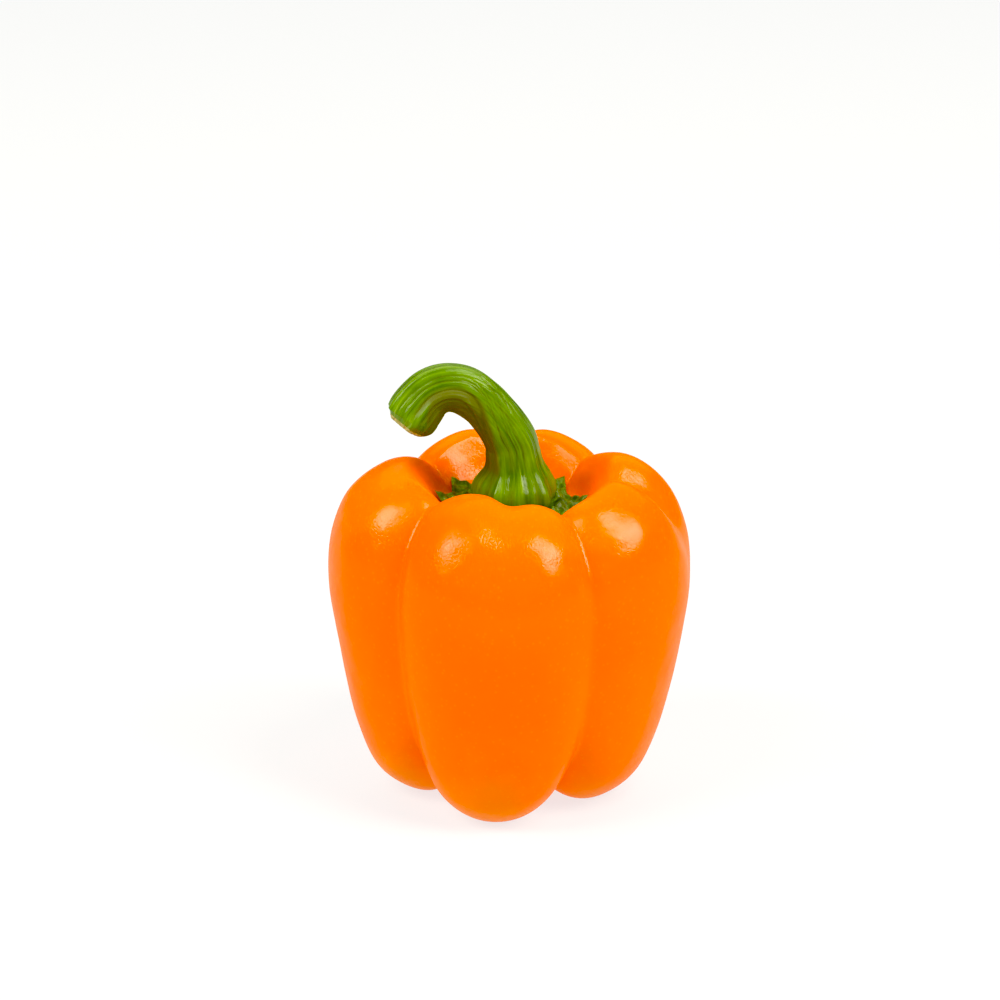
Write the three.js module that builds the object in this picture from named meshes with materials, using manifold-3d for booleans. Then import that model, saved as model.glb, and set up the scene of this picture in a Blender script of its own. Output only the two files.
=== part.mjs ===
// An orange bell pepper, picked and standing on its lobes: the lobed fruit, the crimped calyx that
// grips the hollow in its top, and the stem that swells at its foot and hooks over to a cut end.
// Millimetres, +Z up, +X to the viewer's right and +Y away from the viewer. The origin is the
// centre of the whole pepper's box, on the surface that the fruit stands on.
import * as THREE from "three";
import { mergeVertices } from "three/addons/utils/BufferGeometryUtils.js";
import Module from "manifold-3d";

// Driving dimensions of the fruit.
const FRUIT_RADIUS = 43; // from the core to the widest point of a full lobe
const FRUIT_HEIGHT = 82.5; // from the surface to the crest of a full shoulder
const DEPTH_SHARE = 0.95; // the fruit is a little narrower from front to back

// Meridians, from the seat of the calyx over the shoulder to the blossom end, as shares of the
// fruit's radius and height. One runs along the middle of a lobe, the other down a furrow.
const LOBE_MERIDIAN = [
  [0, 0.85], [0.19, 0.85], [0.32, 0.858], [0.405, 0.885], [0.475, 0.95], [0.56, 1],
  [0.71, 0.985], [0.88, 0.91], [0.98, 0.79], [1, 0.66], [0.965, 0.52], [0.91, 0.36],
  [0.845, 0.21], [0.75, 0.09], [0.61, 0.02], [0.46, -0.008], [0.32, 0.025], [0.17, 0.1],
  [0, 0.14],
];
const FURROW_MERIDIAN = [
  [0, 0.85], [0.19, 0.85], [0.31, 0.856], [0.4, 0.872], [0.47, 0.893], [0.54, 0.91],
  [0.63, 0.898], [0.74, 0.84], [0.82, 0.76], [0.855, 0.66], [0.84, 0.53], [0.79, 0.38],
  [0.715, 0.26], [0.6, 0.175], [0.47, 0.125], [0.35, 0.105], [0.24, 0.11], [0.12, 0.13],
  [0, 0.14],
];

// Furrows between the lobes, anticlockwise from the one at the front left: bearing in degrees, how
// many degrees it has wandered by the time it reaches the foot, and how deep it is over the
// shoulder, as a share of the furrow meridian's depth.
const FURROWS = [
  { bearing: -135, wander: -12, shoulder: 0.65 },
  { bearing: -59, wander: 0, shoulder: 1 },
  { bearing: 42, wander: 0, shoulder: 0.6 },
  { bearing: 145, wander: 0, shoulder: 0.7 },
];

// The lobe that follows each furrow. crest and foot are shares of the common radius at the
// shoulder's crest and above the foot, rise is added to the shoulder in mm, tilt is added to the
// half that lies anticlockwise and taken from the other, and dent is the valley that splits the
// shoulder: where it lies between the furrows (-1 to 1), its width and its depth.
const LOBES = [
  { crest: 0.9, foot: 1, rise: -1.3, tilt: -0.8, dent: { at: 0.12, width: 0.27, depth: 0.34 } },
  { crest: 1.05, foot: 0.97, rise: -0.7, tilt: 0.8, dent: { at: 0.04, width: 0.2, depth: 0.85 } },
  { crest: 0.97, foot: 1, rise: 1, tilt: 0, dent: { at: -0.05, width: 0.25, depth: 0.6 } },
  { crest: 1.03, foot: 1.01, rise: -0.3, tilt: 0, dent: { at: 0.15, width: 0.3, depth: 0.15 } },
];
const FRUIT_ROWS = 36;
const LOBE_COLUMNS = 18;

// Calyx.
const CALYX_CLEARANCE = 0.45; // above the fruit, measured upwards
const CALYX_VALLEY_RADIUS = 14.8;
const CALYX_TOOTH_LENGTH = 3.4;
const CALYX_TEETH = [0, 45, 93, 141, 171, 210, 261, 309]; // bearings in degrees
const CALYX_COLUMNS = 120;
const FRILL_RADIUS = 11.6;
const FRILL_HEIGHT = 1.7;
const FRILL_CRIMPS = 20;

// Stem: the middle of each cross-section and its radius, from the foot to the cut end.
const STEM_STATIONS = [
  [1.1, 0, 72.7, 8.7], [1.1, 0, 74.6, 9.6], [1.1, 0, 76.8, 9.4], [1.1, 0, 79.2, 8.1],
  [1, 0, 81.5, 6.7], [0.7, 0, 84.2, 6.2], [0, -0.1, 87.6, 5.9], [-2.7, -0.6, 92.6, 5.5],
  [-6.4, -1.2, 97.4, 5.4], [-10.4, -1.9, 100.6, 5.5], [-14.8, -2.6, 101.6, 5.5],
  [-18.9, -3.2, 100.2, 5.7], [-22.1, -3.7, 96.6, 6.1], [-23.4, -3.9, 94.4, 5.9],
  [-24.7, -4.1, 92.7, 4.1],
];
const STEM_ROWS = 32;
const STEM_COLUMNS = 40;
const STEM_RIBS = 5;
const STEM_RIB_HEIGHT = 0.065; // share of the radius

const { PI, abs, cos, exp, hypot, max, min, round, sin, sqrt } = Math;
const TURN = 2 * PI;
const radians = THREE.MathUtils.degToRad;

// A point of the smooth curve through a list of number lists, with t from 0 to 1 along the list.
function along(stations, t) {
  const spans = stations.length - 1;
  const span = min(Math.floor(t * spans), spans - 1);
  const f = t * spans - span;
  const [before, start, end, after] = [span - 1, span, span + 1, span + 2].map(
    (i) => stations[min(max(i, 0), spans)],
  );
  return start.map((a, k) => {
    const b = end[k];
    const leave = (b - before[k]) / 2;
    const arrive = (after[k] - a) / 2;
    return a + f * leave + f * f * (3 * (b - a) - 2 * leave - arrive)
      + f * f * f * (2 * (a - b) + leave + arrive);
  });
}

// A closed surface from rows of points round an axis, each row a ring but the first and the last,
// which are single points. Rows run outwards and down, columns anticlockwise seen from above.
function closedRings(rows, columns, pointAt) {
  const points = [pointAt(0, 0)];
  for (let row = 1; row < rows; row++) {
    for (let column = 0; column < columns; column++) points.push(pointAt(row, column));
  }
  points.push(pointAt(rows, 0));
  const last = points.length - 1;
  const at = (row, column) => {
    if (row === 0) return 0;
    return row === rows ? last : 1 + (row - 1) * columns + (column % columns);
  };
  const faces = [];
  for (let row = 0; row < rows; row++) {
    for (let column = 0; column < columns; column++) {
      const [a, b] = [at(row, column), at(row + 1, column)];
      const [c, d] = [at(row + 1, column + 1), at(row, column + 1)];
      if (b !== c) faces.push(a, b, c);
      if (a !== d) faces.push(a, c, d);
    }
  }
  const geometry = new THREE.BufferGeometry().setFromPoints(points);
  geometry.setIndex(faces);
  return geometry;
}

// Where a bearing lies: its lobe, the lobe across the nearer furrow, its place from -1 to 1 between
// the lobe's furrows, the nearer furrow, and the degrees that both furrows wander there.
function placeOf(bearing) {
  const turned = (((bearing - FURROWS[0].bearing) % 360) + 360) % 360;
  const bearings = FURROWS.map((furrow) => furrow.bearing - FURROWS[0].bearing).concat(360);
  const index = bearings.findLastIndex((start) => start <= turned);
  const [start, end] = [bearings[index], bearings[index + 1]];
  const across = (2 * (turned - start)) / (end - start) - 1;
  const [last, next] = [FURROWS[index], FURROWS[(index + 1) % FURROWS.length]];
  const wander = (last.wander * (1 - across) + next.wander * (1 + across)) / 2;
  const share = THREE.MathUtils.smoothstep(across, -0.5, 0.5);
  const shoulder = last.shoulder + (next.shoulder - last.shoulder) * share;
  const beside = LOBES[(index + LOBES.length + (across < 0 ? -1 : 1)) % LOBES.length];
  return { lobe: LOBES[index], beside, across, shoulder, wander };
}

const bell = (x, middle, width) => exp(-(((x - middle) / width) ** 2));

// A point of the fruit's skin, t from 0 at the seat to 1 at the blossom end.
function skin(t, bearing) {
  const { lobe, beside, across, shoulder, wander } = placeOf(bearing);
  // Each of the lobe's own shares meets the next lobe's halfway in the furrow.
  const own = (name) => lobe[name] + ((beside[name] - lobe[name]) * abs(across) ** 3) / 2;
  const onShoulder = bell(t, 0.28, 0.12);
  const onSide = bell(t, 0.56, 0.2);
  const softness = 0.06 + 0.1 * onSide;
  const swell = sqrt(cos((PI * across) / 2) ** 2 + softness ** 2) - softness;
  const roundness = 0.42 + 0.3 * onSide + 0.12 * onShoulder;
  let fullness = (swell / (sqrt(1 + softness ** 2) - softness)) ** roundness;
  const dent = lobe.dent.depth * bell(t, 0.3, 0.135) * bell(across, lobe.dent.at, lobe.dent.width);
  fullness *= 1 - dent;
  fullness = 1 - (1 - fullness) * (1 - (1 - shoulder) * onShoulder);
  const [ridge, ridgeHeight] = along(LOBE_MERIDIAN, t);
  const [valley, valleyHeight] = along(FURROW_MERIDIAN, t);
  const byCrest = bell(t, 0.3, 0.12);
  const radius = ridge * (1 + (own("crest") - 1) * byCrest + (own("foot") - 1) * bell(t, 0.75, 0.15));
  const lift = own("rise") + lobe.tilt * sin(PI * across);
  const height = ridgeHeight * FRUIT_HEIGHT + lift * byCrest;
  const outwards = FRUIT_RADIUS * (valley + (radius - valley) * fullness);
  const low = valleyHeight * FRUIT_HEIGHT;
  const angle = radians(bearing + wander * THREE.MathUtils.smoothstep(t, 0.6, 0.9));
  return new THREE.Vector3(
    outwards * cos(angle),
    outwards * sin(angle) * DEPTH_SHARE,
    low + (height - low) * fullness,
  );
}

// The height of the skin inside the ring of shoulders, at a distance and bearing from the core.
function hollowHeight(distance, bearing) {
  let [low, high] = [0, 5 / 18];
  for (let step = 0; step < 24; step++) {
    const middle = (low + high) / 2;
    const point = skin(middle, bearing);
    if (hypot(point.x, point.y) < distance) low = middle;
    else high = middle;
  }
  return skin(low, bearing).z;
}

function fruitGeometry() {
  const columns = LOBES.length * LOBE_COLUMNS;
  return closedRings(FRUIT_ROWS, columns, (row, column) => {
    const index = Math.floor(column / LOBE_COLUMNS);
    const start = FURROWS[index].bearing;
    const end = FURROWS[index + 1]?.bearing ?? FURROWS[0].bearing + 360;
    const share = (column % LOBE_COLUMNS) / LOBE_COLUMNS;
    return skin(row / FRUIT_ROWS, start + share * (end - start));
  });
}

// The calyx's outline: sharp teeth with hollow edges between them.
function calyxRadius(bearing) {
  const gaps = CALYX_TEETH.map((tooth) => abs(((bearing - tooth + 540) % 360) - 180));
  const nearest = min(...gaps) / 20;
  return CALYX_VALLEY_RADIUS + CALYX_TOOTH_LENGTH * max(0, 1 - nearest) ** 1.6;
}

// Thickness of the calyx upwards from its underside: a pad under the stem, a crimped frill round
// the pad and a creased skirt that thins to the rim.
function calyxThickness(distance, bearing, share) {
  const angle = radians(bearing);
  const crimp = cos(FRILL_CRIMPS * angle + 1.2 * sin(3 * angle));
  const middle = FRILL_RADIUS + 0.45 * cos(FRILL_CRIMPS * 0.5 * angle + 1);
  const frill = FRILL_HEIGHT * (0.72 + 0.28 * crimp) * exp(-(((distance - middle) / 1.15) ** 2));
  const creases = 0.25 * sin(17 * angle + 2 * distance) + 0.2 * sin(29 * angle - distance);
  const skirt = 1.7 - 0.7 * share + creases * min(1, max(0, (distance - 10) / 3));
  return skirt + frill;
}

function calyxGeometry() {
  // Shares of the outline's radius, outwards over the top and back along the underside.
  const over = [0, 0.5, 0.62, 0.7, 0.76, 0.82, 0.88, 0.94, 0.985, 1];
  const under = [0.97, 0.85, 0.7, 0.5, 0];
  const shares = [...over, ...under];
  return closedRings(shares.length - 1, CALYX_COLUMNS, (row, column) => {
    const bearing = (360 * column) / CALYX_COLUMNS;
    const share = shares[row];
    const distance = share * calyxRadius(bearing);
    const underside = hollowHeight(distance, bearing) + CALYX_CLEARANCE;
    const top = row < over.length;
    const rimShare = share === 1 ? 0.5 : 1;
    const lift = top ? calyxThickness(distance, bearing, share) * rimShare : 0;
    const angle = radians(bearing);
    return new THREE.Vector3(distance * cos(angle), distance * sin(angle), underside + lift);
  });
}

function stemGeometry() {
  const foot = new THREE.Vector3(...STEM_STATIONS[0]);
  const end = new THREE.Vector3(...STEM_STATIONS.at(-1));
  const across = new THREE.Vector3(0, 0, 1).cross(end.clone().sub(foot)).normalize();
  const rings = STEM_ROWS - 4;
  // The cut face and the foot are closed by a smaller ring and a point each.
  return closedRings(STEM_ROWS, STEM_COLUMNS, (row, column) => {
    const ring = min(max(row - 2, 0), rings);
    const t = 1 - ring / rings;
    const [x, y, z, radius] = along(STEM_STATIONS, t);
    const ahead = new THREE.Vector3(...along(STEM_STATIONS, min(t + 0.01, 1)));
    const behind = new THREE.Vector3(...along(STEM_STATIONS, max(t - 0.01, 0)));
    const tangent = ahead.sub(behind).normalize();
    const outer = new THREE.Vector3().crossVectors(across, tangent).normalize();
    const angle = (TURN * column) / STEM_COLUMNS;
    const rib = STEM_RIBS * (angle - 0.93 - 0.5 * THREE.MathUtils.smoothstep(t, 0.42, 0.7));
    const ribs = 1 + STEM_RIB_HEIGHT * (cos(rib) + 0.35 * cos(2 * rib));
    const inset = [0, 0.6][row] ?? [0, 0.6][STEM_ROWS - row] ?? 1;
    const reach = radius * ribs * inset;
    return new THREE.Vector3(x, y, z)
      .addScaledVector(outer, reach * cos(angle))
      .addScaledVector(across, reach * sin(angle));
  });
}

const wasm = await Module();
wasm.setup();

// A closed geometry as a manifold-3d solid, and back.
function solidOf(geometry) {
  const bare = geometry.clone();
  bare.deleteAttribute("normal");
  bare.deleteAttribute("uv");
  const merged = mergeVertices(bare);
  return new wasm.Manifold(new wasm.Mesh({
    numProp: 3,
    vertProperties: merged.attributes.position.array,
    triVerts: new Uint32Array(merged.index.array),
  }));
}

function geometryOf(solid) {
  const { vertProperties, triVerts } = solid.getMesh();
  const geometry = new THREE.BufferGeometry();
  geometry.setAttribute("position", new THREE.BufferAttribute(vertProperties, 3));
  geometry.setIndex(new THREE.BufferAttribute(triVerts, 1));
  return geometry;
}

// Each lobe's foot is worn flat where it stands: what would reach below the surface is cut away.
function standing(geometry) {
  const depth = 10;
  const ground = new THREE.BoxGeometry(4 * FRUIT_RADIUS, 4 * FRUIT_RADIUS, depth);
  ground.translate(0, 0, -depth / 2);
  return geometryOf(solidOf(geometry).subtract(solidOf(ground)));
}

function piece(name, geometry, color, roughness) {
  geometry.computeVertexNormals();
  const material = new THREE.MeshStandardMaterial({ color, roughness, metalness: 0 });
  const mesh = new THREE.Mesh(geometry, material);
  mesh.name = name;
  return mesh;
}

const pepper = new THREE.Group();
pepper.add(
  piece("fruit", standing(fruitGeometry()), "#ff7a08", 0.28),
  piece("calyx", calyxGeometry(), "#3c6e22", 0.45),
  piece("stem", stemGeometry(), "#6f9a2b", 0.4),
);

// The pepper's box is centred over the origin.
const middle = new THREE.Box3().setFromObject(pepper).getCenter(new THREE.Vector3());
for (const { geometry } of pepper.children) geometry.translate(-middle.x, -middle.y, 0);

export default pepper;
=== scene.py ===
"""An orange bell pepper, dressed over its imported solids: the lobed waxy fruit, the crimped calyx
that sits in the hollow of its shoulders, and the ribbed green stem with its cut end.

Lengths are metres in the row frame and sizes in the dataclasses are millimetres: +Z is up, +X is to
the viewer's right, and +Y is away from the viewer.
"""
import logging
import math
from dataclasses import dataclass, field
from enum import Enum
from typing import Any, Callable, Sequence

import bpy
import numpy as np
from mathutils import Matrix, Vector, noise


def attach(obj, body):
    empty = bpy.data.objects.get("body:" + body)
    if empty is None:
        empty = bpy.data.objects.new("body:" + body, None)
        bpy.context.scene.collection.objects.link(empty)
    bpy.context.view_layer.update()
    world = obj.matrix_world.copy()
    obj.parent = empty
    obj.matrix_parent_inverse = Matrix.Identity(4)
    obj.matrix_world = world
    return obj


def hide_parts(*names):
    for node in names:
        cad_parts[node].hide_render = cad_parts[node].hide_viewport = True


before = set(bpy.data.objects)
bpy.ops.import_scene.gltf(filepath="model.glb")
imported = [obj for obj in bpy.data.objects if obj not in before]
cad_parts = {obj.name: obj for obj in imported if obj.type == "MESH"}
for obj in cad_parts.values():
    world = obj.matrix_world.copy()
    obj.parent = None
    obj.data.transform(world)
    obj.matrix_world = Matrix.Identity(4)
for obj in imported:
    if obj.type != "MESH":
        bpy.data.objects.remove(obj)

logging.basicConfig(level=logging.INFO, format="%(message)s")
log = logging.getLogger("pepper")

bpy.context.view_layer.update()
MM = 0.001
# Enough halvings to find a place on the skin to far less than a micrometre.
HALVINGS = 24

# The middle of the pepper's box, in millimetres from the core that its lobes are laid out around.
CORE_SHIFT = (-0.2615, 0.0294)

Array = np.ndarray
Form = Callable[[Array, Array], Array]


class Slot(Enum):
    """The record's material slots."""

    FRUIT = "fruit"
    CALYX = "calyx"
    STEM = "stem"


def linear(colour: str) -> tuple[float, float, float, float]:
    """Turns an sRGB hex colour to linear light.

    Args:
        colour: Six hex digits after a hash sign.

    Returns:
        Red, green, blue and alpha, in linear light.
    """
    parts = [int(colour[i : i + 2], 16) / 255 for i in (1, 3, 5)]
    light = [c / 12.92 if c <= 0.04045 else ((c + 0.055) / 1.055) ** 2.4 for c in parts]
    return (light[0], light[1], light[2], 1.0)


def per_metre(size_mm: float) -> float:
    """Returns the pattern scale that repeats a feature every so many millimetres."""
    return 1000 / size_mm


def node(tree: Any, kind: str, inputs: dict[Any, Any] | None = None, **settings: Any) -> Any:
    """Adds a shader node with its settings and links.

    Args:
        tree: The material's node tree.
        kind: The node's type name.
        inputs: Socket name or number to a value, or to the output socket that feeds it.
        **settings: The node's own properties.

    Returns:
        The new node.
    """
    made = tree.nodes.new(kind)
    for name, value in settings.items():
        setattr(made, name, value)
    for name, value in (inputs or {}).items():
        if isinstance(value, bpy.types.NodeSocket):
            tree.links.new(value, made.inputs[name])
        else:
            made.inputs[name].default_value = value
    return made


def smoothstep(x: Array, low: float, high: float) -> Array:
    """Returns 0 below low, 1 above high and a smooth rise between them."""
    t = np.clip((x - low) / (high - low), 0, 1)
    return t * t * (3 - 2 * t)


def bell(x: Array, middle: float, width: float) -> Array:
    """Returns a bump of height 1 at middle that fades over width."""
    return np.exp(-(((x - middle) / width) ** 2))


def along(stations: Sequence[Sequence[float]], t: Array) -> Array:
    """Follows the smooth curve through a list of number lists.

    Args:
        stations: The number lists that the curve passes through, evenly spaced in t.
        t: Places from 0 to 1.

    Returns:
        One row of numbers for each place.
    """
    table = np.asarray(stations, float)
    spans = len(table) - 1
    span = np.minimum(np.floor(t * spans), spans - 1).astype(int)
    f = (t * spans - span)[:, None]
    before, start, end, after = (table[np.clip(span + k, 0, spans)] for k in (-1, 0, 1, 2))
    leave, arrive = (end - before) / 2, (after - start) / 2
    return (
        start
        + f * leave
        + f**2 * (3 * (end - start) - 2 * leave - arrive)
        + f**3 * (2 * (start - end) + leave + arrive)
    )


def grain(points: Array, size_mm: Sequence[float], seed: float) -> Array:
    """Smooth noise over points.

    Args:
        points: Places, in millimetres.
        size_mm: How far one bump reaches along each axis.
        seed: Shifts the noise, so that two uses differ.

    Returns:
        A value from about -1 to 1 for each point.
    """
    scaled = points / np.asarray(size_mm, float) + seed
    return np.array([noise.noise(Vector(p)) for p in scaled])


def closed_form(
    name: str,
    rows: int,
    columns: int,
    form: Form,
    fibre: Form | None = None,
    painted_shade_depths: Form | None = None,
) -> bpy.types.Object:
    """Shapes a sphere of rows and columns into a closed form.

    Args:
        name: The new object's name.
        rows: Rows from the first pole to the last.
        columns: Columns round the axis.
        form: Takes rows from 0 to 1 and turns from 0 to 1, and returns points in millimetres.
        fibre: The same, for where a point lies in its straightened fibres, which the piece keeps
            in its grain attribute.
        painted_shade_depths: The same, for how deep in a groove, a crease or the inside of a bend a point
            lies, kept in the hollow attribute, which places painted shade and duller wax.

    Returns:
        The object, at the origin, with its place in its mesh.
    """
    bpy.ops.object.select_all(action="DESELECT")
    bpy.ops.mesh.primitive_uv_sphere_add(segments=columns, ring_count=rows, radius=1)
    made = bpy.context.object
    made.name = made.data.name = name
    count = len(made.data.vertices)
    flat = np.empty(count * 3)
    made.data.vertices.foreach_get("co", flat)
    ball = flat.reshape(-1, 3)
    row = np.round(np.arccos(np.clip(ball[:, 2], -1, 1)) / math.pi * rows) / rows
    turn = (np.round(np.arctan2(ball[:, 1], ball[:, 0]) / math.tau * columns) / columns) % 1
    points = form(row, turn) - np.array([*CORE_SHIFT, 0])
    made.data.vertices.foreach_set("co", (points * MM).ravel())
    made.data.update()
    bpy.ops.object.mode_set(mode="EDIT")
    bpy.ops.mesh.select_all(action="SELECT")
    bpy.ops.mesh.normals_make_consistent(inside=False)
    bpy.ops.object.mode_set(mode="OBJECT")
    bpy.ops.object.shade_smooth()
    if fibre:
        layer = made.data.attributes.new("grain", "FLOAT_VECTOR", "POINT")
        layer.data.foreach_set("vector", (fibre(row, turn) * MM).ravel())
    if painted_shade_depths:
        layer = made.data.attributes.new("hollow", "FLOAT", "POINT")
        layer.data.foreach_set("value", painted_shade_depths(row, turn))
    return made


def raise_skin(piece: bpy.types.Object, height_mm: Callable[[Array], Array]) -> None:
    """Moves a piece's skin in or out along its normals.

    Args:
        piece: The piece to work on.
        height_mm: Takes points in millimetres and returns how far each one moves outwards.
    """
    count = len(piece.data.vertices)
    points, normals = np.empty(count * 3), np.empty(count * 3)
    piece.data.vertices.foreach_get("co", points)
    piece.data.vertex_normals.foreach_get("vector", normals)
    points, normals = points.reshape(-1, 3), normals.reshape(-1, 3)
    points += normals * height_mm(points / MM)[:, None] * MM
    points[:, 2] = np.maximum(points[:, 2], 0)
    piece.data.vertices.foreach_set("co", points.ravel())
    piece.data.update()


@dataclass(frozen=True)
class Furrow:
    """A furrow between two lobes: its bearing in degrees, how many degrees it wanders on its way
    down, and how deeply it cuts the shoulders, from 0 to 1."""

    bearing: float
    wander: float
    shoulder: float


@dataclass(frozen=True)
class Lobe:
    """A lobe: shares of the common radius, millimetres that its shoulder stands higher, tilt from
    one half to the other, and the dent that splits its shoulder."""

    crest: float
    foot: float
    rise: float
    tilt: float
    dent_at: float
    dent_width: float
    dent_depth: float


@dataclass(frozen=True)
class WaxySkin:
    """Ripe bell pepper skin, grown: a smooth wax bloom over tight orange flesh, which gives broad
    soft highlights with slightly broken edges and a warm glow where the wall is thin."""

    name: str = "ripe_pepper_skin"
    # From the surface that it stands on to the crests, as shares of the height.
    shades: Sequence[tuple[float, str]] = (
        (0.0, "#FF7400"), (0.3, "#FF6500"), (0.55, "#FF6200"), (0.88, "#FF6200"), (1.0, "#FF6A00"),
    )
    freckle: str = "#FF9A1C"
    wax_weight: float = 0.5
    wax_roughness: float = 0.24
    wax_ior: float = 1.62
    height_mm: float = 82.5
    # Sizes of the patterns, and how far the shades drift up and down and the creases stray.
    cloud_mm: float = 22.0
    drift_mm: float = 12.0
    freckle_mm: float = 1.6
    crease_mm: float = 1.05
    stray_mm: float = 1.6
    stray_size_mm: float = 2.2
    patch_mm: float = 6.5
    peel_mm: float = 0.9
    swell_mm: float = 5.5
    # Strengths of the relief; the creases' run from the smooth patches to the wrinkled ones.
    swell_bump: float = 0.35
    peel_bump: float = 0.07
    crease_bumps: tuple[float, float] = (0.05, 0.15)

    def material(self) -> bpy.types.Material:
        """Builds the material.

        Returns:
            The material, named for what it is.
        """
        made = bpy.data.materials.new(self.name)
        made.use_nodes = True
        tree = made.node_tree
        shader = tree.nodes["Principled BSDF"]
        place = node(tree, "ShaderNodeTexCoord").outputs["Object"]
        parts = node(tree, "ShaderNodeSeparateXYZ", {0: place})
        # Yellower over the shoulders and redder down the sides, unevenly.
        cloud = node(
            tree,
            "ShaderNodeTexNoise",
            {"Vector": place, "Scale": per_metre(self.cloud_mm), "Detail": 2.0},
        )
        drift = node(
            tree,
            "ShaderNodeMapRange",
            {0: cloud.outputs[0], 1: 0.3, 2: 0.7, 3: -self.drift_mm * MM, 4: self.drift_mm * MM},
        )
        level = node(
            tree,
            "ShaderNodeMath",
            {0: parts.outputs["Z"], 1: drift.outputs[0]},
            operation="ADD",
        )
        rise = node(
            tree,
            "ShaderNodeMapRange",
            {0: level.outputs[0], 1: 0.0, 2: self.height_mm * MM},
        )
        base = node(tree, "ShaderNodeValToRGB", {0: rise.outputs[0]})
        base.color_ramp.interpolation = "EASE"
        for _ in self.shades[2:]:
            base.color_ramp.elements.new(0.5)
        for stop, (at, shade) in zip(base.color_ramp.elements, self.shades):
            stop.position, stop.color = at, linear(shade)
        # Pale pinpoint freckles in the skin, about half a millimetre across.
        pores = node(
            tree,
            "ShaderNodeTexVoronoi",
            {"Vector": place, "Scale": per_metre(self.freckle_mm), "Randomness": 1.0},
        )
        dots = node(
            tree,
            "ShaderNodeMapRange",
            {0: pores.outputs["Distance"], 1: 0.28, 2: 0.1, 3: 0.0, 4: 0.12},
        )
        speckled = node(
            tree,
            "ShaderNodeMix",
            {0: dots.outputs[0], 6: base.outputs[0], 7: linear(self.freckle)},
            data_type="RGBA",
        )
        # The skin is faintly wrinkled in patches: a net of soft creases over finer peel.
        warp = node(
            tree,
            "ShaderNodeTexNoise",
            {"Vector": place, "Scale": per_metre(self.stray_size_mm), "Detail": 1.0},
        )
        shifted = node(
            tree,
            "ShaderNodeVectorMath",
            {0: warp.outputs["Color"], 1: (self.stray_mm * MM,) * 3},
            operation="MULTIPLY",
        )
        bent = node(tree, "ShaderNodeVectorMath", {0: place, 1: shifted.outputs[0]}, operation="ADD")
        net = node(
            tree,
            "ShaderNodeTexVoronoi",
            {"Vector": bent.outputs[0], "Scale": per_metre(self.crease_mm)},
            feature="DISTANCE_TO_EDGE",
        )
        crease = node(tree, "ShaderNodeMapRange", {0: net.outputs["Distance"], 1: 0.0, 2: 0.22})
        patch = node(
            tree,
            "ShaderNodeTexNoise",
            {"Vector": place, "Scale": per_metre(self.patch_mm), "Detail": 1.0},
        )
        least, most = self.crease_bumps
        wrinkled = node(
            tree,
            "ShaderNodeMapRange",
            {0: patch.outputs[0], 1: 0.44, 2: 0.62, 3: least, 4: most},
        )
        peel = node(
            tree,
            "ShaderNodeTexNoise",
            {"Vector": place, "Scale": per_metre(self.peel_mm), "Detail": 3.0},
        )
        swell = node(
            tree,
            "ShaderNodeTexNoise",
            {"Vector": place, "Scale": per_metre(self.swell_mm), "Detail": 1.0},
        )
        wide = node(
            tree,
            "ShaderNodeBump",
            {"Strength": self.swell_bump, "Distance": 0.0008, "Height": swell.outputs[0]},
        )
        fine = node(
            tree,
            "ShaderNodeBump",
            {
                "Strength": self.peel_bump,
                "Distance": 0.0002,
                "Height": peel.outputs[0],
                "Normal": wide.outputs[0],
            },
        )
        creased = node(
            tree,
            "ShaderNodeBump",
            {
                "Strength": wrinkled.outputs[0],
                "Distance": 0.0002,
                "Height": crease.outputs[0],
                "Normal": fine.outputs[0],
            },
        )
        tree.links.new(speckled.outputs[2], shader.inputs["Base Color"])
        tree.links.new(creased.outputs[0], shader.inputs["Normal"])
        tree.links.new(creased.outputs[0], shader.inputs["Coat Normal"])
        shader.inputs["Specular IOR Level"].default_value = 0.0
        shader.inputs["Coat Weight"].default_value = self.wax_weight
        shader.inputs["Coat Roughness"].default_value = self.wax_roughness
        shader.inputs["Coat IOR"].default_value = self.wax_ior
        shader.inputs["Subsurface Weight"].default_value = 0.15
        shader.inputs["Subsurface Radius"].default_value = (1.0, 0.35, 0.05)
        shader.inputs["Subsurface Scale"].default_value = 0.004
        return made


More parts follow.
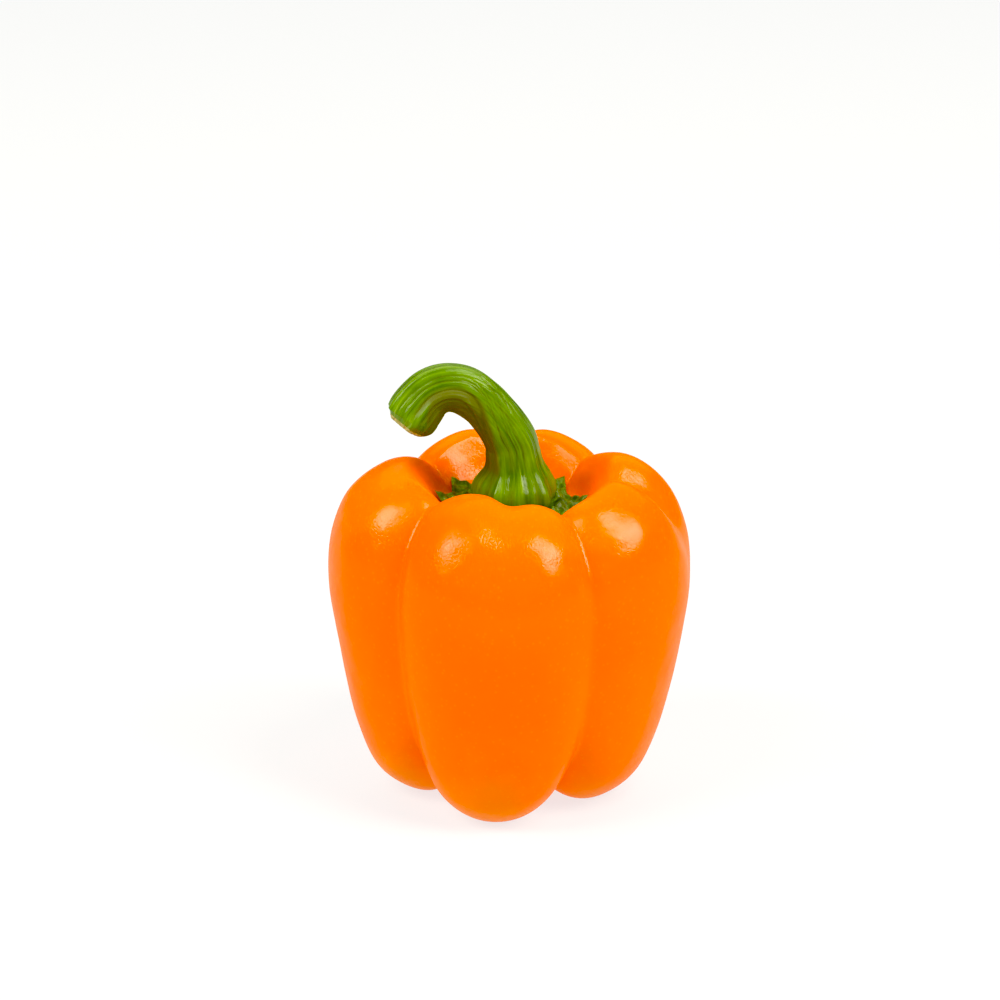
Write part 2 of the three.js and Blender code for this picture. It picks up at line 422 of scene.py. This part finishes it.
@dataclass(frozen=True)
class GreenRind:
    """Fresh green plant rind, grown: fine lengthwise fibres under a thin wax, which give streaks of
    light and dark green and a broken sheen along the ribs."""

    name: str
    light: str
    dark: str
    # Painted shade: a darker olive laid into the grooves, creases and the inside of the bend.
    hollow: str
    # Pale fibre veins, which on the calyx also serve as painted glints.
    vein_and_glint: str
    streak_mm: tuple[float, float, float]
    roughness: float
    bump: float
    blotch_mm: float = 6.0
    pimple_mm: float = 0.9
    # How much duller the wax is down in the creases.
    dulling: float = 0.25

    def material(self) -> bpy.types.Material:
        """Builds the material.

        Returns:
            The material, named for what it is.
        """
        made = bpy.data.materials.new(self.name)
        made.use_nodes = True
        tree = made.node_tree
        shader = tree.nodes["Principled BSDF"]
        place = node(tree, "ShaderNodeTexCoord").outputs["Object"]
        fibre = node(tree, "ShaderNodeAttribute", attribute_name="grain").outputs["Vector"]
        stretch = tuple(per_metre(s) for s in self.streak_mm)
        along_fibre = node(tree, "ShaderNodeVectorMath", {0: fibre, 1: stretch}, operation="MULTIPLY")
        streaks = node(
            tree,
            "ShaderNodeTexNoise",
            {"Vector": along_fibre.outputs[0], "Scale": 1.0, "Detail": 3.0, "Roughness": 0.6},
        )
        blotch = node(
            tree,
            "ShaderNodeTexNoise",
            {"Vector": place, "Scale": per_metre(self.blotch_mm), "Detail": 2.0},
        )
        both = node(
            tree,
            "ShaderNodeMix",
            {0: 0.35, 2: streaks.outputs[0], 3: blotch.outputs[0]},
            data_type="FLOAT",
        )
        share = node(tree, "ShaderNodeMapRange", {0: both.outputs[0], 1: 0.38, 2: 0.62})
        colour = node(
            tree,
            "ShaderNodeMix",
            {0: share.outputs[0], 6: linear(self.dark), 7: linear(self.light)},
            data_type="RGBA",
        )
        # Thin pale veins where the fibres show through, which on the calyx also serve as painted glints;
        # and painted shade, a darker olive in the grooves, creases and the inside of the bend.
        thin = node(tree, "ShaderNodeMapRange", {0: streaks.outputs[0], 1: 0.6, 2: 0.72, 3: 0.0, 4: 0.5})
        veins_and_glints = node(
            tree,
            "ShaderNodeMix",
            {0: thin.outputs[0], 6: colour.outputs[2], 7: linear(self.vein_and_glint)},
            data_type="RGBA",
        )
        depth = node(tree, "ShaderNodeAttribute", attribute_name="hollow").outputs["Fac"]
        shaded = node(
            tree,
            "ShaderNodeMix",
            {0: depth, 6: veins_and_glints.outputs[2], 7: linear(self.hollow)},
            data_type="RGBA",
        )
        ridges = node(
            tree,
            "ShaderNodeBump",
            {"Strength": self.bump, "Distance": 0.0004, "Height": streaks.outputs[0]},
        )
        pimples = node(
            tree,
            "ShaderNodeTexNoise",
            {"Vector": place, "Scale": per_metre(self.pimple_mm), "Detail": 2.0},
        )
        rough = node(
            tree,
            "ShaderNodeBump",
            {
                "Strength": 0.3,
                "Distance": 0.0002,
                "Height": pimples.outputs[0],
                "Normal": ridges.outputs[0],
            },
        )
        wax = node(
            tree,
            "ShaderNodeMapRange",
            {0: depth, 1: 0.0, 2: 1.0, 3: self.roughness, 4: self.roughness + self.dulling},
        )
        tree.links.new(shaded.outputs[2], shader.inputs["Base Color"])
        tree.links.new(wax.outputs[0], shader.inputs["Roughness"])
        tree.links.new(rough.outputs[0], shader.inputs["Normal"])
        shader.inputs["IOR"].default_value = 1.45
        shader.inputs["Subsurface Weight"].default_value = 0.1
        shader.inputs["Subsurface Radius"].default_value = (0.4, 1.0, 0.1)
        shader.inputs["Subsurface Scale"].default_value = 0.002
        return made


@dataclass(frozen=True)
class CutPith:
    """Dried stem pith, cut with a blade: pale tan, matt and a little fibrous, darker to the rim."""

    name: str = "dried_cut_pith"
    pale: str = "#C9BE8A"
    dark: str = "#7E7A3C"
    cell_mm: float = 0.7

    def material(self) -> bpy.types.Material:
        """Builds the material.

        Returns:
            The material, named for what it is.
        """
        made = bpy.data.materials.new(self.name)
        made.use_nodes = True
        tree = made.node_tree
        shader = tree.nodes["Principled BSDF"]
        place = node(tree, "ShaderNodeTexCoord").outputs["Object"]
        cells = node(
            tree,
            "ShaderNodeTexVoronoi",
            {"Vector": place, "Scale": per_metre(self.cell_mm)},
        )
        colour = node(
            tree,
            "ShaderNodeMix",
            {0: cells.outputs["Distance"], 6: linear(self.pale), 7: linear(self.dark)},
            data_type="RGBA",
        )
        relief = node(
            tree,
            "ShaderNodeBump",
            {"Strength": 0.6, "Distance": 0.0003, "Height": cells.outputs["Distance"]},
        )
        tree.links.new(colour.outputs[2], shader.inputs["Base Color"])
        tree.links.new(relief.outputs[0], shader.inputs["Normal"])
        shader.inputs["Roughness"].default_value = 0.85
        return made


@dataclass
class Fruit:
    """The lobed fruit, from the seat of the calyx over the shoulders to the blossom end."""

    radius: float = 43.0
    height: float = 82.5
    depth_share: float = 0.95
    rows: int = 190
    lobe_columns: int = 62
    lobe_meridian: Sequence[Sequence[float]] = (
        (0, 0.85), (0.19, 0.85), (0.32, 0.858), (0.405, 0.885), (0.475, 0.95), (0.56, 1),
        (0.71, 0.985), (0.88, 0.91), (0.98, 0.79), (1, 0.66), (0.965, 0.52), (0.91, 0.36),
        (0.845, 0.21), (0.75, 0.09), (0.61, 0.02), (0.46, -0.008), (0.32, 0.025), (0.17, 0.1),
        (0, 0.14),
    )
    furrow_meridian: Sequence[Sequence[float]] = (
        (0, 0.85), (0.19, 0.85), (0.31, 0.856), (0.4, 0.872), (0.47, 0.893), (0.54, 0.91),
        (0.63, 0.898), (0.74, 0.84), (0.82, 0.76), (0.855, 0.66), (0.84, 0.53), (0.79, 0.38),
        (0.715, 0.26), (0.6, 0.175), (0.47, 0.125), (0.35, 0.105), (0.24, 0.11), (0.12, 0.13),
        (0, 0.14),
    )
    furrows: Sequence[Furrow] = (
        Furrow(-135, -12, 0.65),
        Furrow(-59, 0, 1),
        Furrow(42, 0, 0.6),
        Furrow(145, 0, 0.7),
    )
    lobes: Sequence[Lobe] = (
        Lobe(0.9, 1, -1.3, -0.8, 0.12, 0.27, 0.34),
        Lobe(1.05, 0.97, -0.7, 0.8, 0.04, 0.2, 0.85),
        Lobe(0.97, 1, 1, 0, -0.05, 0.25, 0.6),
        Lobe(1.03, 1.01, -0.3, 0, 0.15, 0.3, 0.15),
    )
    # Places along a meridian, from 0 at the seat to 1 at the blossom end, and how far each reaches.
    shoulder_reach: tuple[float, float] = (0.28, 0.12)
    crest_reach: tuple[float, float] = (0.3, 0.12)
    dent_reach: tuple[float, float] = (0.3, 0.135)
    side_reach: tuple[float, float] = (0.56, 0.2)
    foot_reach: tuple[float, float] = (0.75, 0.15)
    # The share of a meridian that runs from the seat up to the top of the shoulders.
    inner_share: float = 5 / 18
    # How blunt the furrows are and how square the lobes, and what the sides and shoulders add.
    blunt: float = 0.06
    side_blunt: float = 0.1
    square: float = 0.42
    side_square: float = 0.3
    shoulder_square: float = 0.12
    # How far the skin rolls and dimples, in millimetres, and the dimples' share on the inner walls.
    roll: float = 0.26
    dimple: float = 0.07
    wall_dimple: float = 0.17
    skin_finish: WaxySkin = field(default_factory=WaxySkin)

    def skin(self, t: Array, bearing: Array) -> Array:
        """Finds points of the fruit's skin.

        Args:
            t: Places from 0 at the seat to 1 at the blossom end.
            bearing: Degrees anticlockwise from +X.

        Returns:
            Points, in millimetres from the core.
        """
        first = self.furrows[0].bearing
        starts = np.array([f.bearing - first for f in self.furrows] + [360.0])
        turned = (bearing - first) % 360
        index = np.clip(np.searchsorted(starts, turned, side="right") - 1, 0, len(self.lobes) - 1)
        across = 2 * (turned - starts[index]) / (starts[index + 1] - starts[index]) - 1
        following = (index + 1) % len(self.furrows)
        wanders = np.array([f.wander for f in self.furrows])
        shoulders = np.array([f.shoulder for f in self.furrows])
        wander = (wanders[index] * (1 - across) + wanders[following] * (1 + across)) / 2
        last, gain = shoulders[index], shoulders[following] - shoulders[index]
        shoulder = last + gain * smoothstep(across, -0.5, 0.5)
        beside = (index + np.where(across < 0, -1, 1)) % len(self.lobes)
        own = np.array([(o.crest, o.foot, o.rise) for o in self.lobes])
        # Each of the lobe's own shares meets the next lobe's halfway in the furrow.
        crest, foot, rise = (own[index] + (own[beside] - own[index]) * np.abs(across[:, None]) ** 3 / 2).T
        tilt, dent_at, dent_width, dent_depth = np.array(
            [(o.tilt, o.dent_at, o.dent_width, o.dent_depth) for o in self.lobes]
        )[index].T
        on_shoulder, on_side = bell(t, *self.shoulder_reach), bell(t, *self.side_reach)
        by_crest, by_foot = bell(t, *self.crest_reach), bell(t, *self.foot_reach)
        softness = self.blunt + self.side_blunt * on_side
        swell = np.sqrt(np.cos(math.pi * across / 2) ** 2 + softness**2) - softness
        roundness = self.square + self.side_square * on_side + self.shoulder_square * on_shoulder
        full = (np.maximum(swell, 0) / (np.sqrt(1 + softness**2) - softness)) ** roundness
        dented = bell(t, *self.dent_reach) * bell((across - dent_at) / dent_width, 0, 1)
        full *= 1 - dent_depth * dented
        full = 1 - (1 - full) * (1 - (1 - shoulder) * on_shoulder)
        ridge, valley = along(self.lobe_meridian, t), along(self.furrow_meridian, t)
        widest = ridge[:, 0] * (1 + (crest - 1) * by_crest + (foot - 1) * by_foot)
        lift = rise + tilt * np.sin(math.pi * across)
        top = ridge[:, 1] * self.height + lift * by_crest
        low = valley[:, 1] * self.height
        outwards = self.radius * (valley[:, 0] + (widest - valley[:, 0]) * full)
        angle = np.radians(bearing + wander * smoothstep(t, 0.6, 0.9))
        return np.stack(
            [
                outwards * np.cos(angle),
                outwards * np.sin(angle) * self.depth_share,
                np.maximum(low + (top - low) * full, 0),
            ],
            axis=1,
        )

    def hollow_height(self, distance: Array, bearing: Array) -> Array:
        """Finds how high the skin is inside the ring of shoulders.

        Args:
            distance: Millimetres from the core.
            bearing: Degrees anticlockwise from +X.

        Returns:
            Heights, in millimetres.
        """
        low, high = np.zeros_like(distance), np.full_like(distance, self.inner_share)
        for _ in range(HALVINGS):
            middle = (low + high) / 2
            point = self.skin(middle, bearing)
            inside = np.hypot(point[:, 0], point[:, 1]) < distance
            low, high = np.where(inside, middle, low), np.where(inside, high, middle)
        return self.skin(low, bearing)[:, 2]

    def form(self, row: Array, turn: Array) -> Array:
        """Lays the skin out with as many columns on each lobe.

        Args:
            row: Places from 0 at the seat to 1 at the blossom end.
            turn: Turns from 0 to 1.

        Returns:
            Points, in millimetres from the core.
        """
        count = len(self.lobes)
        index = np.minimum((turn * count).astype(int), count - 1)
        starts = np.array([f.bearing for f in self.furrows] + [self.furrows[0].bearing + 360])
        share = turn * count - index
        return self.skin(row, starts[index] + share * (starts[index + 1] - starts[index]))

    def unevenness(self, points: Array) -> Array:
        """Finds how far the skin swells or sinks from its smooth form: soft dimples over the
        shoulders, and more of them on the walls round the stem.

        Args:
            points: Places, in millimetres.

        Returns:
            Millimetres outwards for each point.
        """
        high = smoothstep(points[:, 2], 4, 20)
        wide = grain(points, (13, 13, 18), 3.7)
        small = grain(points, (5, 5, 7), 9.1)
        wall = 1 - smoothstep(np.hypot(points[:, 0], points[:, 1]), 20, 26)
        return high * (self.roll * wide + (self.dimple + self.wall_dimple * wall) * small)

    def build(self) -> bpy.types.Object:
        """Builds and dresses the fruit.

        Returns:
            The fruit's object, which stands in for its CAD node.
        """
        made = closed_form("fruit_skin", self.rows, self.lobe_columns * len(self.lobes), self.form)
        raise_skin(made, self.unevenness)
        made.data.materials.append(self.skin_finish.material())
        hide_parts("fruit")
        return made


@dataclass
class Calyx:
    """The crimped collar in the hollow of the fruit's top, with its toothed edge."""

    fruit: Fruit
    clearance: float = 0.45
    valley_radius: float = 14.8
    tooth_length: float = 3.4
    # Bearings of the teeth, and how far each one's foot reaches to either side, in degrees.
    teeth: Sequence[float] = (0, 45, 93, 141, 171, 210, 261, 309)
    tooth_reach: float = 20.0
    frill_radius: float = 11.6
    frill_height: float = 1.7
    frill_crimps: int = 20
    # How near the edge the rim turns down, as a share of the way out to it.
    rim_share: float = 0.06
    # The share of the rows that run over the top; the rest run back along the underside.
    top_share: float = 0.7
    rows: int = 90
    columns: int = 480
    finish: GreenRind = GreenRind(
        name="calyx_leaf",
        light="#5C823E",
        dark="#1D4026",
        # Painted shade colour; the calyx keeps no depths for it, so it does not show.
        hollow="#18361F",
        # Pale veins, which here also stand in as painted glints, specks of the leaf's shine.
        vein_and_glint="#98B478",
        streak_mm=(1.3, 1.3, 1.3),
        roughness=0.38,
        bump=0.6,
    )

    def outline(self, bearing: Array) -> Array:
        """Finds the edge, with pointed teeth and hollow edges between them.

        Args:
            bearing: Degrees anticlockwise from +X.

        Returns:
            The edge's distances from the core, in millimetres.
        """
        gaps = np.stack([np.abs((bearing - tooth + 540) % 360 - 180) for tooth in self.teeth])
        nearest = gaps.min(axis=0) / self.tooth_reach
        return self.valley_radius + self.tooth_length * np.maximum(0, 1 - nearest) ** 1.6

    def thickness(self, distance: Array, bearing: Array, share: Array) -> Array:
        """Finds the thickness upwards from the underside: pad, crimped frill and creased skirt.

        Args:
            distance: Millimetres from the core.
            bearing: Degrees anticlockwise from +X.
            share: The distance as a share of the edge's.

        Returns:
            Thicknesses, in millimetres.
        """
        angle = np.radians(bearing)
        crimp = np.cos(self.frill_crimps * angle + 1.2 * np.sin(3 * angle))
        middle = self.frill_radius + 0.45 * np.cos(self.frill_crimps * 0.5 * angle + 1)
        frill = self.frill_height * (0.72 + 0.28 * crimp) * np.exp(-(((distance - middle) / 1.15) ** 2))
        creases = 0.25 * np.sin(17 * angle + 2 * distance) + 0.2 * np.sin(29 * angle - distance)
        skirt = 1.7 - 0.7 * share + creases * np.clip((distance - 10) / 3, 0, 1)
        return skirt + frill

    def form(self, row: Array, turn: Array) -> Array:
        """Runs out over the top to the edge and back along the underside.

        Args:
            row: Places from 0 in the middle of the top to 1 in the middle of the underside.
            turn: Turns from 0 to 1.

        Returns:
            Points, in millimetres from the core.
        """
        bearing = turn * 360
        over = row <= self.top_share
        outwards = (row / self.top_share) ** 0.7
        back = ((1 - row) / (1 - self.top_share)) ** 0.8
        share = np.where(over, outwards, back)
        distance = share * self.outline(bearing)
        underside = self.fruit.hollow_height(distance, bearing) + self.clearance
        past = np.maximum(0, (share - 1 + self.rim_share) / self.rim_share)
        rim = np.sqrt(np.maximum(0, 1 - past**2) * 0.75 + 0.25)
        lift = np.where(over, self.thickness(distance, bearing, share) * rim, 0)
        angle = np.radians(bearing)
        return np.stack(
            [distance * np.cos(angle), distance * np.sin(angle), underside + lift], axis=1
        )

    def build(self) -> bpy.types.Object:
        """Builds and dresses the calyx.

        Returns:
            The calyx's object, which stands in for its CAD node.
        """
        made = closed_form("calyx_collar", self.rows, self.columns, self.form, self.form)
        raise_skin(made, lambda p: 0.12 * grain(p, (1.6, 1.6, 1.6), 5.2))
        made.data.materials.append(self.finish.material())
        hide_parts("calyx")
        return made


@dataclass
class Stem:
    """The stem: swollen at its foot, ribbed, hooked over, and cut off at its end."""

    stations: Sequence[Sequence[float]] = (
        (1.1, 0, 72.7, 8.7), (1.1, 0, 74.6, 9.6), (1.1, 0, 76.8, 9.4), (1.1, 0, 79.2, 8.1),
        (1, 0, 81.5, 6.7), (0.7, 0, 84.2, 6.2), (0, -0.1, 87.6, 5.9), (-2.7, -0.6, 92.6, 5.5),
        (-6.4, -1.2, 97.4, 5.4), (-10.4, -1.9, 100.6, 5.5), (-14.8, -2.6, 101.6, 5.5),
        (-18.9, -3.2, 100.2, 5.7), (-22.1, -3.7, 96.6, 6.1), (-23.4, -3.9, 94.4, 5.9),
        (-24.7, -4.1, 92.7, 4.1),
    )
    # Wrinkles beside the groove: radians from it, and where each starts and ends along the stem.
    wrinkles: Sequence[tuple[float, float, float]] = (
        (0.42, 0.5, 0.86), (0.52, 0.42, 0.7), (0.66, 0.52, 0.78), (0.86, 0.36, 0.6),
        (0.98, 0.38, 0.66), (1.12, 0.33, 0.55), (1.3, 0.5, 0.74), (1.5, 0.36, 0.6),
    )
    length: float = 52.0
    straight_radius: float = 6.0
    ribs: int = 5
    rib_height: float = 0.065
    # Depths and heights of the relief, in millimetres.
    strand: float = 0.16
    fine_strand: float = 0.1
    groove: float = 0.65
    lesser_groove: float = 0.3
    wrinkle: float = 0.22
    foot_bulge: float = 0.6
    sunk_cut: float = 0.55
    foot_creases: int = 9
    rows: int = 300
    cap_rows: int = 16
    rim_rows: int = 9
    columns: int = 240
    finish: GreenRind = GreenRind(
        name="stem_rind",
        light="#66902E",
        dark="#34601E",
        # Painted shade colour for the grooves, creases and the inside of the bend.
        hollow="#545E2A",
        vein_and_glint="#9CB85C",
        streak_mm=(0.9, 0.9, 14.0),
        roughness=0.33,
        bump=0.4,
    )
    cut_finish: CutPith = field(default_factory=CutPith)

    def relief(self, t: Array, angle: Array) -> Array:
        """Finds how far the rind stands proud of the stem's round form: fine strands, a long
        groove on the viewer's side of the bend with a lesser one under it, wrinkles beside them,
        and the foot's bulges with creases between them.

        Args:
            t: Places from 0 at the foot to 1 at the cut.
            angle: Radians round the stem, from the outside of its bend.

        Returns:
            Heights, in millimetres.
        """
        turn = np.stack([np.cos(angle), np.sin(angle)], axis=1)
        strands = grain(np.column_stack([turn * 6.5, t * 5]), (1, 1, 1), 2.3)
        fine = grain(np.column_stack([turn * 16, t * 8]), (1, 1, 1), 8.8)
        path = 0.7 + 1.0 * smoothstep(t, 0.45, 0.68)
        reach = smoothstep(t, 0.38, 0.6) * (1 - smoothstep(t, 0.8, 0.92))
        groove = -self.groove * reach * bell(angle, path, 0.13)
        lesser = -self.lesser_groove * reach * bell(angle, path - 0.38, 0.06)
        wrinkles = sum(
            -self.wrinkle * bell(angle, path + gap, 0.035) * smoothstep(t, start, start + 0.05)
            * (1 - smoothstep(t, end - 0.05, end))
            for gap, start, end in self.wrinkles
        )
        foot = 1 - smoothstep(t, 0.1, 0.27)
        bulge = np.abs(np.sin(self.foot_creases / 2 * (angle - 2.0))) ** 0.42 - 0.84
        fibrous = self.strand * strands + self.fine_strand * fine
        return fibrous + groove + lesser + wrinkles + self.foot_bulge * foot * bulge

    def form(self, row: Array, turn: Array) -> Array:
        """Runs from the cut end down to the foot; the first and last few rows close the ends.

        Args:
            row: Places from 0 in the middle of the cut to 1 in the middle of the base.
            turn: Turns from 0 to 1.

        Returns:
            Points, in millimetres from the core.
        """
        step = row * self.rows
        t = 1 - np.clip((step - self.cap_rows) / (self.rows - 2 * self.cap_rows), 0, 1)
        core = along(self.stations, t)
        ahead = along(self.stations, np.minimum(t + 0.01, 1))[:, :3]
        behind = along(self.stations, np.maximum(t - 0.01, 0))[:, :3]
        tangent = ahead - behind
        tangent /= np.linalg.norm(tangent, axis=1)[:, None]
        reach = np.subtract(self.stations[-1][:3], self.stations[0][:3])
        across = np.cross((0, 0, 1), reach)
        across /= np.linalg.norm(across)
        outer = np.cross(across, tangent)
        outer /= np.linalg.norm(outer, axis=1)[:, None]
        angle = turn * math.tau
        rib = self.ribs * (angle - 0.93 - 0.5 * smoothstep(t, 0.42, 0.7))
        ribs = 1 + self.rib_height * (np.cos(rib) + 0.35 * np.cos(2 * rib))
        inset = np.minimum(1, np.minimum(step, self.rows - step) / self.cap_rows)
        rind = core[:, 3] * ribs + self.relief(t, angle)
        size = rind * inset
        # The dried pith has shrunk back inside the rim of the cut.
        shrunk = self.sunk_cut * (1 - smoothstep(inset, 0.7, 0.92))
        sunk = np.where(step < self.cap_rows, shrunk, 0)
        return (
            core[:, :3]
            - tangent * sunk[:, None]
            + outer * (size * np.cos(angle))[:, None]
            + across * (size * np.sin(angle))[:, None]
        )

    def painted_shade_depths(self, row: Array, turn: Array) -> Array:
        """Finds how deep in a groove, a crease or the inside of the bend each point lies, for the painted
        shade and the duller wax there.

        Args:
            row: As for form.
            turn: As for form.

        Returns:
            Values from 0 on the open rind to 1 in the deepest place.
        """
        t = 1 - np.clip((row * self.rows - self.cap_rows) / (self.rows - 2 * self.cap_rows), 0, 1)
        angle = turn * math.tau
        away = np.minimum(angle, math.tau - angle)
        # Besides the grooves, the inside of the bend, which faces away from the lamps, gets painted
        # shade.
        edge = 0.95 + 0.85 * smoothstep(t, 0.42, 0.64) - 0.7 * smoothstep(t, 0.76, 0.9)
        inside = 0.85 * smoothstep(edge - away, 0, 0.22) * smoothstep(t, 0.14, 0.32)
        return np.clip(-self.relief(t, angle) / self.groove + inside, 0, 1)

    def fibre(self, row: Array, turn: Array) -> Array:
        """Finds where each point would lie in the rind if the stem were straight.

        Args:
            row: As for form.
            turn: As for form.

        Returns:
            Points, in millimetres.
        """
        angle = turn * math.tau
        x, y = self.straight_radius * np.cos(angle), self.straight_radius * np.sin(angle)
        return np.stack([x, y, row * self.length], axis=1)

    def finish_cut(self, made: bpy.types.Object) -> None:
        """Gives the cut and its pale rim the dried pith.

        Args:
            made: The stem, with its grain attribute.
        """
        places = made.data.attributes["grain"].data
        limit = self.length * (self.cap_rows + self.rim_rows) / self.rows * MM
        for face in made.data.polygons:
            if all(places[corner].vector.z < limit for corner in face.vertices):
                face.material_index = 1

    def build(self) -> bpy.types.Object:
        """Builds and dresses the stem.

        Returns:
            The stem's object, which stands in for its CAD node.
        """
        made = closed_form(
            "stem_rind", self.rows, self.columns, self.form, self.fibre, self.painted_shade_depths
        )
        made.data.materials.append(self.finish.material())
        made.data.materials.append(self.cut_finish.material())
        self.finish_cut(made)
        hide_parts("stem")
        return made


@dataclass(frozen=True)
class Lamp:
    """A soft lamp: its name, where it stands and how wide and high it is, in metres, and its
    power in watts."""

    name: str
    place: tuple[float, float, float]
    size: tuple[float, float]
    watts: float


@dataclass(frozen=True)
class MattPaper:
    """White background paper, rolled: matt, with a faint light of its own, which keeps the floor
    near white round the soft shadow."""

    name: str = "white_paper_sweep"
    pale: str = "#7E7E7E"
    glow: str = "#FAFCFF"
    glow_strength: float = 0.76
    roughness: float = 0.9
    specular: float = 0.1

    def material(self) -> bpy.types.Material:
        """Builds the material.

        Returns:
            The material, named for what it is.
        """
        made = bpy.data.materials.new(self.name)
        made.use_nodes = True
        shader = made.node_tree.nodes["Principled BSDF"]
        shader.inputs["Base Color"].default_value = linear(self.pale)
        shader.inputs["Emission Color"].default_value = linear(self.glow)
        shader.inputs["Emission Strength"].default_value = self.glow_strength
        shader.inputs["Roughness"].default_value = self.roughness
        shader.inputs["Specular IOR Level"].default_value = self.specular
        return made


@dataclass
class Studio:
    """The pale floor, the soft lamps and the camera at the photograph's viewing angle."""

    elevation: float = 22.0
    distance: float = 0.76
    mm_per_pixel: float = 0.238
    picture: int = 1000
    sensor: float = 36.0
    # The grade: taking a little blue away keeps the deep oranges and greens pure.
    black_level: tuple[float, float, float] = (0.0, 0.01, 0.065)
    aim_mm: tuple[float, float, float] = (0.2615, -0.0294, 41.0)
    aim_pixel: tuple[float, float] = (511.5, 626.3)
    lamp_colour: str = "#FFF8E2"
    lamps: Sequence[Lamp] = (
        Lamp("left_soft_box", (-1.05, -0.45, 1.0), (0.66, 0.8), 15.5),
        Lamp("right_soft_box", (0.92, -0.53, 0.98), (0.7, 0.74), 16.5),
        Lamp("top_right_soft_box", (0.45, -0.45, 1.3), (0.4, 0.4), 5.5),
        Lamp("top_left_soft_box", (-0.52, -0.56, 1.18), (0.36, 0.36), 3.2),
        Lamp("back_soft_box", (0.1, 0.95, 1.25), (2.4, 1.6), 12),
    )
    lit_point: tuple[float, float, float] = (0, 0, 0.05)
    room_light: float = 0.2
    floor_size: float = 12.0
    paper: MattPaper = field(default_factory=MattPaper)

    def camera(self) -> None:
        """Places the camera so that the aim point shows at the aim pixel."""
        data = bpy.data.cameras.new("camera")
        made = bpy.data.objects.new("camera", data)
        bpy.context.scene.collection.objects.link(made)
        bpy.context.scene.camera = made
        focal = self.distance / (self.mm_per_pixel * MM)
        data.sensor_width = self.sensor
        data.lens = self.sensor * focal / self.picture
        tilt = math.radians(self.elevation)
        back = Vector((0, -math.cos(tilt), math.sin(tilt)))
        made.location = Vector(self.aim_mm) * MM + back * self.distance
        yaw = math.atan((self.aim_pixel[0] - self.picture / 2) / focal)
        pitch = math.atan((self.aim_pixel[1] - self.picture / 2) / focal)
        made.rotation_euler = (math.pi / 2 - tilt + pitch, 0, yaw)

    def light(self, lamp: Lamp) -> None:
        """Adds a round-fronted soft box that faces the pepper.

        Args:
            lamp: The lamp to add.
        """
        data = bpy.data.lights.new(lamp.name, "AREA")
        data.shape = "ELLIPSE"
        data.size, data.size_y = lamp.size
        data.energy = lamp.watts
        data.color = linear(self.lamp_colour)[:3]
        made = bpy.data.objects.new(lamp.name, data)
        made.location = lamp.place
        facing = Vector(self.lit_point) - Vector(lamp.place)
        made.rotation_euler = facing.to_track_quat("-Z", "Y").to_euler()
        bpy.context.scene.collection.objects.link(made)

    def floor(self) -> None:
        """Lays the pale floor."""
        bpy.ops.object.select_all(action="DESELECT")
        bpy.ops.mesh.primitive_plane_add(size=self.floor_size)
        made = bpy.context.object
        made.name = "floor"
        made.data.materials.append(self.paper.material())

    def build(self) -> None:
        """Sets the stage."""
        scene = bpy.context.scene
        scene.view_settings.view_transform = "Standard"
        scene.view_settings.use_curve_mapping = True
        grade = scene.view_settings.curve_mapping
        grade.black_level = self.black_level
        grade.update()
        world = bpy.data.worlds.new("white_room")
        world.use_nodes = True
        background = world.node_tree.nodes["Background"]
        background.inputs["Color"].default_value = (1, 1, 1, 1)
        background.inputs["Strength"].default_value = self.room_light
        scene.world = world
        self.floor()
        for lamp in self.lamps:
            self.light(lamp)
        self.camera()


def main() -> None:
    """Builds the pepper in order, sets the stage and logs how many points each piece has."""
    fruit = Fruit()
    for maker in (fruit, Calyx(fruit), Stem()):
        piece = maker.build()
        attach(piece, "root")
        log.info("%s: %d points", piece.name, len(piece.data.vertices))
    Studio().build()


if __name__ == "__main__":
    main()
